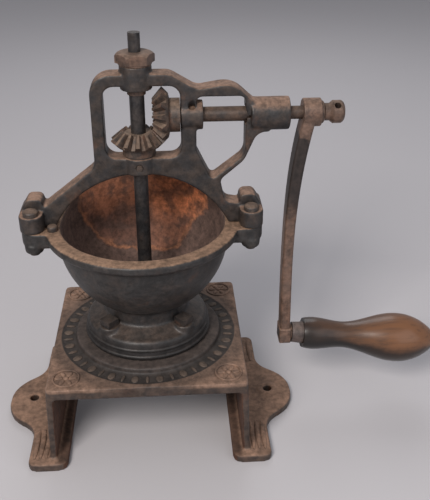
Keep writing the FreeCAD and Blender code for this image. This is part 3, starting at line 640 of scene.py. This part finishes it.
@dataclass(frozen=True)
class BaseFinish(IronFinish):
    """The base's iron: rust and painted shade on the inner walls, worn feet, and a plate with a dark ring and
    tan corners.
    """

    wall_inward: Step = Step(-0.3, -0.8)
    wall_height: Step = Step(74.0 * MM, 70.0 * MM)
    wall_spots: Patches = Patches(45.0, 0.9, 0.15, 2.2)
    level_faces: Step = Step(0.2, 0.9)
    foot: Colour = (0.215, 0.128, 0.086)
    foot_height: Step = Step(16.0 * MM, 13.0 * MM)
    foot_wear: Patches = Patches(70.0, 0.95, 0.25, 6.3)
    inner_foot: Colour = (0.075, 0.040, 0.027)
    inner_side: Step = Step(82.0 * MM, 78.0 * MM)
    inner_strength: float = 0.85
    flat_place: Place = (1.0, 1.0, 0.0)
    plate_height: Step = Step(78.0 * MM, 81.0 * MM)
    seat: Colour = (0.040, 0.034, 0.032)
    seat_edge: Step = Step(66.5 * MM, 65.5 * MM)
    seat_strength: float = 0.75
    corner: Colour = (0.235, 0.142, 0.098)
    corner_edge: Step = Step(84.0 * MM, 96.0 * MM)
    corner_wear: Patches = Patches(85.0, 0.9, 0.22, 7.7)
    corner_strength: float = 0.8
    ring: Colour = (0.029, 0.0245, 0.0225)
    ring_inner: Step = Step(65.5 * MM, 66.5 * MM)
    ring_outer: Step = Step(80.0 * MM, 79.0 * MM)
    ring_strength: float = 0.92

    def special(self, tree: Tree, colour: object, rust_mask: object) -> tuple[object, object]:
        """Paints the walls, the feet and the plate.

        Args:
            tree: The material's tree.
            colour: The colour so far.
            rust_mask: The rust so far.

        Returns:
            The colour and the rust mask.
        """
        source = tree.add("ShaderNodeTexCoord")
        place = source.outputs["Object"]
        facing = source.outputs["Normal"]
        # Rust and painted shade: the inward faces under the plate are darkened to the rust colour almost
        # everywhere.
        wall_rust_and_shade = self.wall_rust_and_shade(tree, place, facing)
        colour = tree.mix(wall_rust_and_shade, colour, self.rust)
        colour = self.feet(tree, place, facing, colour)
        return self.plate(tree, place, colour), tree.math("MAXIMUM", rust_mask, wall_rust_and_shade)

    def wall_rust_and_shade(self, tree: Tree, place: object, facing: object) -> object:
        """Where the faces that look inwards under the plate are rusty and darkened as painted shade.

        Args:
            tree: The material's tree.
            place: The coordinate output.
            facing: The normal output.

        Returns:
            The mask.
        """
        side = tree.math("SIGN", tree.part(place, Axis.X))
        inward = tree.step(tree.times(side, tree.part(facing, Axis.X)), self.wall_inward)
        low = tree.step(tree.part(place, Axis.Z), self.wall_height)
        # Rust and painted shade on the inward faces under the plate.
        return tree.times(inward, low, self.wall_spots.mask(tree))

    def feet(self, tree: Tree, place: object, facing: object, colour: object) -> object:
        """Wears the tops of the feet tan, and darker between the walls.

        Args:
            tree: The material's tree.
            place: The coordinate output.
            facing: The normal output.
            colour: The colour so far.

        Returns:
            The colour output.
        """
        level = tree.step(tree.part(facing, Axis.Z), self.level_faces)
        low = tree.times(level, tree.step(tree.part(place, Axis.Z), self.foot_height))
        colour = tree.mix(tree.times(low, self.foot_wear.mask(tree)), colour, self.foot)
        out = tree.math("ABSOLUTE", tree.part(place, Axis.X))
        within = tree.times(low, tree.step(out, self.inner_side), self.inner_strength)
        return tree.mix(within, colour, self.inner_foot)

    def plate(self, tree: Tree, place: object, colour: object) -> object:
        """Paints the plate's top: grey seat, tan corners and a dark ring.

        Args:
            tree: The material's tree.
            place: The coordinate output.
            colour: The colour so far.

        Returns:
            The colour output.
        """
        radius = tree.vector("LENGTH", tree.vector("MULTIPLY", place, self.flat_place))
        on_top = tree.step(tree.part(place, Axis.Z), self.plate_height)
        within = tree.times(on_top, tree.step(radius, self.seat_edge), self.seat_strength)
        colour = tree.mix(within, colour, self.seat)
        beyond = tree.times(on_top, tree.step(radius, self.corner_edge))
        worn = tree.times(self.corner_wear.mask(tree), self.corner_strength)
        colour = tree.mix(tree.times(beyond, worn), colour, self.corner)
        ring = tree.times(tree.step(radius, self.ring_inner), tree.step(radius, self.ring_outer))
        return tree.mix(tree.times(ring, on_top, self.ring_strength), colour, self.ring)


@dataclass(frozen=True)
class CrankFinish(IronFinish):
    """The crank's iron: darker on the upper arm under the eye, paler towards the handle."""

    dark: Colour = (0.022, 0.017, 0.0155)
    dark_rise: Step = Step(175.0 * MM, 225.0 * MM)
    dark_fall: Step = Step(276.0 * MM, 270.0 * MM)
    dark_strength: float = 0.95
    edge_noise: NoiseLayer = NoiseLayer(60.0)
    edge_wander: float = 60.0 * MM

    def special(self, tree: Tree, colour: object, rust_mask: object) -> tuple[object, object]:
        """Darkens the upper arm.

        Args:
            tree: The material's tree.
            colour: The colour so far.
            rust_mask: The rust so far.

        Returns:
            The colour and the rust mask.
        """
        coords = tree.add("ShaderNodeTexCoord").outputs["Object"]
        # Darker along the upper arm, below the eye.
        height = tree.plus(tree.part(coords, Axis.Z), tree.wander(coords, self.edge_noise, self.edge_wander))
        upper_darkening = tree.times(tree.step(height, self.dark_rise), tree.step(height, self.dark_fall))
        return tree.mix(tree.times(upper_darkening, self.dark_strength), colour, self.dark), rust_mask


@dataclass(frozen=True)
class WoodFinish(Finish):
    """Turned wood under old varnish, blackened by hands at its inner end, and darkened underneath by hands
    and by painted shade.
    """

    name: str
    axis_start: Place
    axis: Place
    length: float
    light: Colour = (0.165, 0.073, 0.034)
    brown: Colour = (0.080, 0.041, 0.024)
    black: Colour = (0.011, 0.0098, 0.0095)
    stretch: Place = (0.07, 1.0, 1.0)
    streaks: NoiseLayer = NoiseLayer(330.0, 6.0, 0.6)
    streak_dark: Step = Step(0.45, 0.75, 0.0, 0.4)
    figure: NoiseLayer = NoiseLayer(70.0, 3.0, 0.5)
    figure_wander: float = 0.9
    paling: Step = Step(0.30, 0.78)
    blotches: NoiseLayer = NoiseLayer(42.0, 4.0, 0.6)
    end_blotch: float = 0.35
    end_rise: float = 0.22
    dark_end: Step = Step(0.50, 0.10, 0.0, 0.9)
    under_blotch: float = 0.7
    # Hand blackening and painted shade on the faces that look down.
    hand_dark_and_shade_under: Step = Step(0.32, -0.22, 0.0, 0.9)
    sheen: Step = Step(0.3, 0.8, 0.30, 0.46)
    specular: float = 0.3
    varnish: float = 0.22
    varnish_roughness: float = 0.18
    grain_depth: float = 0.12
    grain_height: float = 0.3 * MM

    def paint(self, tree: Tree, shader: bpy.types.Node) -> None:
        """Feeds the shader with streaks, a dark end, an underside darkened partly as painted shade, and
        varnish.

        Args:
            tree: The material's tree.
            shader: Its Principled shader.
        """
        source = tree.add("ShaderNodeTexCoord")
        coords = source.outputs["Object"]
        rise = tree.part(source.outputs["Normal"], Axis.Z)
        lengthwise = self.lengthwise(tree, coords)
        streak = tree.noise(lengthwise, self.streaks)
        blotch = tree.wander(coords, self.blotches)
        along = tree.vector("DOT_PRODUCT", tree.vector("SUBTRACT", coords, self.axis_start), self.axis)
        share = tree.math("DIVIDE", along, self.length)
        pale = tree.plus(share, tree.wander(lengthwise, self.figure, self.figure_wander))
        colour = tree.mix(tree.step(pale, self.paling), self.brown, self.light)
        colour = tree.mix(tree.step(streak, self.streak_dark), colour, self.black)
        end = tree.plus(share, tree.times(blotch, self.end_blotch))
        # Painted shade: faces that look down darken the inner end further.
        end = tree.plus(end, tree.times(rise, self.end_rise))
        colour = tree.mix(tree.step(end, self.dark_end), colour, self.black)
        # Hand blackening and painted shade: faces that look down go towards black.
        under = tree.plus(rise, tree.times(blotch, self.under_blotch))
        colour = tree.mix(tree.step(under, self.hand_dark_and_shade_under), colour, self.black)
        tree.feed(shader, "Base Color", colour)
        tree.feed(shader, "Roughness", tree.step(streak, self.sheen))
        shader.inputs["Specular IOR Level"].default_value = self.specular
        shader.inputs["Coat Weight"].default_value = self.varnish
        shader.inputs["Coat Roughness"].default_value = self.varnish_roughness
        tree.bump(shader, streak, self.grain_depth, self.grain_height)

    def lengthwise(self, tree: Tree, coords: object) -> object:
        """Coordinates that are drawn out along the grip, for its streaks.

        Args:
            tree: The material's tree.
            coords: The coordinate output.

        Returns:
            The coordinate output.
        """
        node = tree.add("ShaderNodeMapping")
        tree.feed(node, "Vector", coords)
        node.inputs["Rotation"].default_value = (0.0, math.asin(self.axis[2]), 0.0)
        node.inputs["Scale"].default_value = self.stretch
        return node.outputs[0]


IRON = IronFinish("frame_iron")
BOWL_IRON = BowlFinish(
    "bowl_iron", skin=(0.026, 0.024, 0.0235), bloom=(0.040, 0.031, 0.027), dust=(0.25, 0.152, 0.098),
    bloom_amount=0.42, dust_start=0.5, dust_end=0.97, dust_floor=0.190, rust_amount=0.1, rust_strength=0.3)
BASE_IRON = BaseFinish(
    "base_iron", skin=(0.035, 0.027, 0.024), bloom=(0.070, 0.047, 0.036), dust=(0.130, 0.081, 0.058),
    rust=(0.080, 0.034, 0.019), bloom_amount=0.6, dust_amount=0.8, rust_amount=0.25, rust_strength=0.35,
    grain_scale=560.0, shift=3.0)
RELIEF_IRON = IronFinish(
    "relief_iron", skin=(0.045, 0.036, 0.031), bloom=(0.085, 0.058, 0.044), dust=(0.088, 0.062, 0.047),
    dust_amount=0.75, rust_strength=0.3, shift=5.0)
HARDWARE = IronFinish(
    "bolt_iron", skin=(0.036, 0.030, 0.028), bloom=(0.070, 0.048, 0.036), dust=(0.130, 0.086, 0.062),
    rust_scale=110.0, shift=7.0)
COLLAR_BOLT = IronFinish(
    "collar_bolt_iron", skin=(0.019, 0.0165, 0.016), bloom=(0.038, 0.028, 0.024), dust=(0.060, 0.044, 0.036),
    dust_amount=0.6, rust_scale=110.0, shift=8.0)
STEEL = IronFinish(
    "shaft_steel", skin=(0.034, 0.032, 0.033), bloom=(0.052, 0.043, 0.039), dust=(0.075, 0.057, 0.047),
    bloom_amount=0.4, dust_amount=0.4, rust_amount=0.12, grain_scale=1200.0, grain_depth=0.15, gloss=0.42,
    metallic=0.5, shift=9.0)
CRANK_STEEL = IronFinish(
    "crank_shaft_steel", skin=(0.040, 0.032, 0.029), bloom=(0.085, 0.054, 0.039), dust=(0.110, 0.070, 0.050),
    bloom_amount=0.6, dust_amount=0.6, grain_depth=0.15, gloss=0.45, metallic=0.35, shift=9.5)
GEAR_IRON = IronFinish(
    "gear_tooth_iron", skin=(0.040, 0.031, 0.027), bloom=(0.080, 0.054, 0.041), dust=(0.165, 0.112, 0.080),
    bloom_amount=0.6, dust_amount=0.85, rust_amount=0.35, rust_scale=130.0, shift=11.0)
CRANK_IRON = CrankFinish(
    "rubbed_crank_iron", skin=(0.094, 0.062, 0.048), bloom=(0.155, 0.093, 0.067), dust=(0.215, 0.135, 0.095),
    bloom_amount=0.6, dust_amount=0.7, rust_amount=0.25, rust_strength=0.35, gloss=0.55, metallic=0.3,
    shift=13.0)
NUT_IRON = IronFinish(
    "nut_iron", skin=(0.072, 0.050, 0.040), bloom=(0.135, 0.082, 0.059), dust=(0.170, 0.115, 0.085),
    bloom_amount=0.6, dust_amount=0.6, rust_amount=0.2, gloss=0.42, metallic=0.4, shift=15.0)
FERRULE_STEEL = IronFinish(
    "ferrule_metal", skin=(0.078, 0.062, 0.057), bloom=(0.125, 0.092, 0.080), dust=(0.16, 0.118, 0.098),
    dust_amount=0.4, gloss=0.40, metallic=0.5, shift=16.0)
BUSH = IronFinish(
    "bush_metal", skin=(0.085, 0.056, 0.032), bloom=(0.12, 0.072, 0.042), metallic=0.6, shift=17.0)


def new_piece(name: str, bm: bmesh.types.BMesh, finish: Finish) -> bpy.types.Object:
    """Turns a bmesh into a finished piece of cast iron that stays with the base.

    Args:
        name: The piece's name.
        bm: Its mesh, freed here.
        finish: What it is dressed in.

    Returns:
        The piece.
    """
    mesh = bpy.data.meshes.new(name)
    bm.to_mesh(mesh)
    bm.free()
    for face in mesh.polygons:
        face.use_smooth = True
    piece = bpy.data.objects.new(name, mesh)
    bpy.context.scene.collection.objects.link(piece)
    piece.data.materials.append(finish.material())
    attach(piece, ROOT_BODY)
    LOG.info("made %s, %d faces", name, len(mesh.polygons))
    return piece


def dress(finish: Finish, *nodes: str) -> None:
    """Gives CAD nodes a finish.

    Args:
        finish: What they are dressed in.
        *nodes: The nodes' names.
    """
    made = finish.material()
    for node in nodes:
        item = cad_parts[node]
        if not item.material_slots:
            item.data.materials.append(made)
        for place in item.material_slots:
            place.material = made
        LOG.info("dressed %s in %s", node, finish.name)


@dataclass(frozen=True)
class Casting:
    """A copy of a CAD node with the soft edges and uneven skin of a sand casting."""

    node: str
    voxel: float
    rounds: int
    ripple: float
    seed: float
    ripple_scale: float = 90.0
    soften: float = 0.5
    weld: float = 1e-6

    def mesh(self) -> bmesh.types.BMesh:
        """The casting, with its edges softened and its skin rippled inwards.

        Returns:
            The new mesh.
        """
        bm = self.cells()
        for _ in range(self.rounds):
            bmesh.ops.smooth_vert(bm, verts=bm.verts, factor=self.soften, use_axis_x=True, use_axis_y=True,
                                  use_axis_z=True)
        bm.normal_update()
        shift = Vector((self.seed, 0.0, 0.0))
        for vert in bm.verts:
            # The noise runs from -1 to 1, so the skin dips by up to one ripple and never rises.
            depth = 0.5 + 0.5 * noise.noise(vert.co * self.ripple_scale + shift)
            vert.co -= vert.normal * self.ripple * depth
        return bm

    def cells(self) -> bmesh.types.BMesh:
        """The node's shape, made anew from even cells.

        Returns:
            The new mesh.
        """
        bm = bmesh.new()
        bm.from_mesh(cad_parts[self.node].data)
        bmesh.ops.remove_doubles(bm, verts=bm.verts, dist=self.weld)
        mesh = bpy.data.meshes.new(self.node + "_cast")
        bm.to_mesh(mesh)
        bm.free()
        helper = bpy.data.objects.new(self.node + "_cast", mesh)
        bpy.context.scene.collection.objects.link(helper)
        change = helper.modifiers.new("cells", "REMESH")
        change.mode = "VOXEL"
        change.voxel_size = self.voxel
        bpy.context.view_layer.update()
        done = helper.evaluated_get(bpy.context.evaluated_depsgraph_get())
        bm = bmesh.new()
        bm.from_mesh(done.to_mesh())
        done.to_mesh_clear()
        bpy.data.objects.remove(helper)
        bpy.data.meshes.remove(mesh)
        return bm


@dataclass(frozen=True)
class Ring:
    """A rounded ring: its radius, the radius of its section, and its pieces round and across."""

    radius: float
    thick: float
    steps: int
    section_steps: int = 12

    def add(self, bm: bmesh.types.BMesh, centre: Vector) -> None:
        """Adds the ring to a mesh.

        Args:
            bm: The mesh that it goes into.
            centre: Its centre.
        """
        upright = Matrix.Rotation(math.pi / 2, 4, "X")
        place = Matrix.Translation(centre + Vector((self.radius, 0.0, 0.0))) @ upright
        made = bmesh.ops.create_circle(bm, segments=self.section_steps, radius=self.thick, matrix=place)
        verts = set(made["verts"])
        edges = [e for e in bm.edges if e.verts[0] in verts and e.verts[1] in verts]
        bmesh.ops.spin(bm, geom=made["verts"] + edges, cent=centre, axis=(0.0, 0.0, 1.0), angle=FULL_TURN,
                       steps=self.steps, use_merge=True)


def millimetres(*sizes: float) -> Vector:
    """A vector from sizes in millimetres."""
    return Vector(sizes) * MM


@dataclass
class BaseAssembly:
    """The footed base with its relief; the sizes of diamond, bar, heart, petal and leaf are half sizes."""

    casting: Casting = Casting("base_table", voxel=1.25 * MM, rounds=3, ripple=0.25 * MM, seed=1.0)
    plate_top: float = 83.0 * MM
    band_radius: float = 73.2 * MM
    band_steps: int = 44
    diamond: Vector = field(default_factory=lambda: millimetres(4.6, 3.3, 1.3))
    bar: Vector = field(default_factory=lambda: millimetres(4.4, 1.5, 1.2))
    corner: Vector = field(default_factory=lambda: millimetres(69.0, 67.0, 83.0))
    rosette: Ring = Ring(11.0 * MM, 1.1 * MM, 40)
    heart: Vector = field(default_factory=lambda: millimetres(2.4, 2.4, 1.5))
    petals: int = 6
    petal: Vector = field(default_factory=lambda: millimetres(3.6, 2.0, 1.2))
    petal_share: float = 0.55
    flange_top: float = 8.0 * MM
    leaf: Vector = field(default_factory=lambda: millimetres(2.3, 19.0, 1.3))
    leaf_rows: tuple[float, ...] = (91.5 * MM, 96.5 * MM, 101.5 * MM)
    leaf_middle: float = 64.0 * MM
    lump_segments: int = 16
    lump_rings: int = 10

    def build(self) -> None:
        """Builds and dresses the base."""
        piece = new_piece("cast_base", self.casting.mesh(), BASE_IRON)
        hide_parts("base_table")
        self.band()
        self.rosettes()
        self.leaves()

    def lump(self, bm: bmesh.types.BMesh, size: Vector, place: Matrix) -> None:
        """Adds a low rounded lump of relief.

        Args:
            bm: The mesh that it goes into.
            size: Its half sizes.
            place: Where it sits.
        """
        shape = Matrix.Diagonal((*size, 1.0))
        bmesh.ops.create_uvsphere(bm, u_segments=self.lump_segments, v_segments=self.lump_rings, radius=1.0,
                                  matrix=place @ shape)

    def band(self) -> None:
        """A ring of plain diamonds and bars round the seat."""
        bm = bmesh.new()
        out = Matrix.Translation((self.band_radius, 0.0, self.plate_top))
        for i in range(self.band_steps):
            turn = Matrix.Rotation(FULL_TURN * i / self.band_steps, 4, "Z")
            self.lump(bm, self.bar if i % 2 else self.diamond, turn @ out)
        new_piece("band_relief", bm, RELIEF_IRON)

    def rosettes(self) -> None:
        """A small flower in a ring in each corner of the plate."""
        bm = bmesh.new()
        out = Matrix.Translation((self.rosette.radius * self.petal_share, 0.0, 0.0))
        for x, y in CORNERS:
            centre = Vector((x * self.corner.x, y * self.corner.y, self.corner.z))
            self.rosette.add(bm, centre)
            middle = Matrix.Translation(centre)
            self.lump(bm, self.heart, middle)
            for i in range(self.petals):
                turn = Matrix.Rotation(FULL_TURN * i / self.petals, 4, "Z")
                self.lump(bm, self.petal, middle @ turn @ out)
        bmesh.ops.recalc_face_normals(bm, faces=bm.faces)
        new_piece("corner_rosettes", bm, BASE_IRON)

    def leaves(self) -> None:
        """Long ribs like a leaf on the four ends of the floor flanges."""
        bm = bmesh.new()
        for x, y in CORNERS:
            for row in self.leaf_rows:
                place = Matrix.Translation((x * row, y * self.leaf_middle, self.flange_top))
                self.lump(bm, self.leaf, place)
        new_piece("flange_leaves", bm, BASE_IRON)


@dataclass
class BowlAssembly:
    """The hopper bowl and what is bolted to it."""

    casting: Casting = Casting("hopper_bowl", voxel=1.1 * MM, rounds=3, ripple=0.2 * MM, seed=2.0)
    collar_radii: tuple[float, ...] = (54.6 * MM, 53.6 * MM)
    collar_heights: tuple[float, ...] = (92.5 * MM, 98.5 * MM)
    step_thickness: float = 1.9 * MM
    step_pieces: int = 96

    def build(self) -> None:
        """Builds and dresses the bowl."""
        piece = new_piece("cast_bowl", self.casting.mesh(), BOWL_IRON)
        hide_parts("hopper_bowl")
        self.collar()
        dress(COLLAR_BOLT, "collar_bolts", "collar_nuts")
        dress(HARDWARE, "frame_bolts", "rim_peg", "ring_screws")
        dress(GEAR_IRON, "grinding_ring")

    def collar(self) -> None:
        """The two rounded steps round the collar."""
        bm = bmesh.new()
        for radius, height in zip(self.collar_radii, self.collar_heights):
            Ring(radius, self.step_thickness, self.step_pieces).add(bm, Vector((0.0, 0.0, height)))
        bmesh.ops.recalc_face_normals(bm, faces=bm.faces)
        new_piece("collar_steps", bm, BOWL_IRON)


@dataclass
class FrameAssembly:
    """The arch frame with its bushes."""

    casting: Casting = Casting("arch_frame", voxel=0.85 * MM, rounds=5, ripple=0.2 * MM, seed=3.0)

    def build(self) -> None:
        """Builds and dresses the frame."""
        piece = new_piece("cast_frame", self.casting.mesh(), IRON)
        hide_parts("arch_frame")
        dress(HARDWARE, "bush_pin")
        dress(BUSH, "lower_bush", "inner_bush", "outer_bush")


class GearTrain:
    """The spindle, the gears, the burr and the adjusting nut."""

    def build(self) -> None:
        """Dresses the turning pieces."""
        dress(STEEL, "upright_spindle")
        dress(GEAR_IRON, "driven_gear", "driving_gear", "grinding_cone")
        dress(HARDWARE, "driven_gear_pin", "driving_gear_pin", "thrust_washer", "cone_washer", "cone_nut")
        dress(NUT_IRON, "adjusting_nut")


@dataclass
class CrankAssembly:
    """The crank with its shaft, nut and handle."""

    droop: float = math.radians(6.0)
    pivot: Vector = field(default_factory=lambda: Vector((126.7 * MM, 0.0, 75.8 * MM)))
    grip_start: float = 17.2 * MM
    grip_length: float = 126.0 * MM

    def build(self) -> None:
        """Dresses the crank and the handle."""
        axis = Vector((math.cos(self.droop), 0.0, -math.sin(self.droop)))
        start = self.pivot + axis * self.grip_start
        dress(CRANK_STEEL, "crank_shaft")
        dress(CRANK_IRON, "crank_arm")
        dress(NUT_IRON, "crank_nut")
        dress(STEEL, "handle_rod")
        dress(HARDWARE, "handle_washer")
        dress(FERRULE_STEEL, "grip_ferrule")
        dress(WoodFinish("varnished_wood", tuple(start), tuple(axis), self.grip_length), "wooden_grip")


@dataclass(frozen=True)
class Lamp:
    """A soft square lamp: its place, its side in metres, its power in watts and its light's colour."""

    name: str
    place: Place
    side: float
    power: float
    colour: Colour

    def build(self, target: Vector) -> None:
        """Hangs the lamp.

        Args:
            target: The point that it looks at.
        """
        light = bpy.data.lights.new(self.name, "AREA")
        light.size = self.side
        light.energy = self.power
        light.color = self.colour
        holder = bpy.data.objects.new(self.name, light)
        holder.location = self.place
        aim = target - Vector(self.place)
        holder.rotation_euler = aim.to_track_quat("-Z", "Y").to_euler()
        bpy.context.scene.collection.objects.link(holder)


@dataclass
class Studio:
    """Floor, sky, lamps and camera."""

    floor_colour: Colour = (0.46, 0.438, 0.448)
    floor_roughness: float = 0.8
    floor_half: float = 6.0
    sky_colour: Colour = (0.80, 0.82, 0.88)
    sky_strength: float = 0.42
    lamps: tuple[Lamp, ...] = (
        Lamp("key", (-0.55, -1.1, 1.2), 0.55, 25.0, (1.0, 0.965, 0.93)),
        Lamp("fill", (0.9, -0.9, 0.7), 1.2, 5.0, (0.92, 0.95, 1.0)),
        Lamp("back", (0.2, 1.1, 1.2), 0.9, 6.0, (0.95, 0.97, 1.0)))
    lamp_target: Vector = field(default_factory=lambda: Vector((0.05, 0.0, 0.17)))
    camera_place: Vector = field(default_factory=lambda: Vector((24.66 * MM, -577.30 * MM, 483.86 * MM)))
    pitch: float = math.radians(28.82)
    yaw: float = math.radians(-3.67)
    lens: float = 54.03
    sensor_width: float = 36.0

    def build(self) -> None:
        """Sets up floor, sky, lamps and camera."""
        self.floor()
        self.sky()
        for lamp in self.lamps:
            lamp.build(self.lamp_target)
        self.camera()

    def floor(self) -> None:
        """A wide plain floor."""
        bm = bmesh.new()
        bmesh.ops.create_grid(bm, x_segments=1, y_segments=1, size=self.floor_half)
        mesh = bpy.data.meshes.new("floor")
        bm.to_mesh(mesh)
        bm.free()
        plane = bpy.data.objects.new("floor", mesh)
        bpy.context.scene.collection.objects.link(plane)
        made = bpy.data.materials.new("floor")
        made.use_nodes = True
        shader = made.node_tree.nodes["Principled BSDF"]
        shader.inputs["Base Color"].default_value = (*self.floor_colour, 1.0)
        shader.inputs["Roughness"].default_value = self.floor_roughness
        mesh.materials.append(made)

    def sky(self) -> None:
        """A soft even sky."""
        world = bpy.data.worlds.new("sky")
        world.use_nodes = True
        back = world.node_tree.nodes["Background"]
        back.inputs["Color"].default_value = (*self.sky_colour, 1.0)
        back.inputs["Strength"].default_value = self.sky_strength
        bpy.context.scene.world = world

    def camera(self) -> None:
        """The photograph's camera."""
        camera = bpy.data.cameras.new("camera")
        camera.lens = self.lens
        camera.sensor_width = self.sensor_width
        holder = bpy.data.objects.new("camera", camera)
        holder.location = self.camera_place
        holder.rotation_euler = (math.pi / 2 - self.pitch, 0.0, self.yaw)
        bpy.context.scene.collection.objects.link(holder)
        bpy.context.scene.camera = holder
        bpy.context.scene.view_settings.view_transform = "Standard"


def main() -> None:
    """Builds every assembly."""
    logging.basicConfig(level=logging.INFO)
    for assembly in (BaseAssembly(), BowlAssembly(), FrameAssembly(), GearTrain(), CrankAssembly(), Studio()):
        assembly.build()


if __name__ == "__main__":
    main()
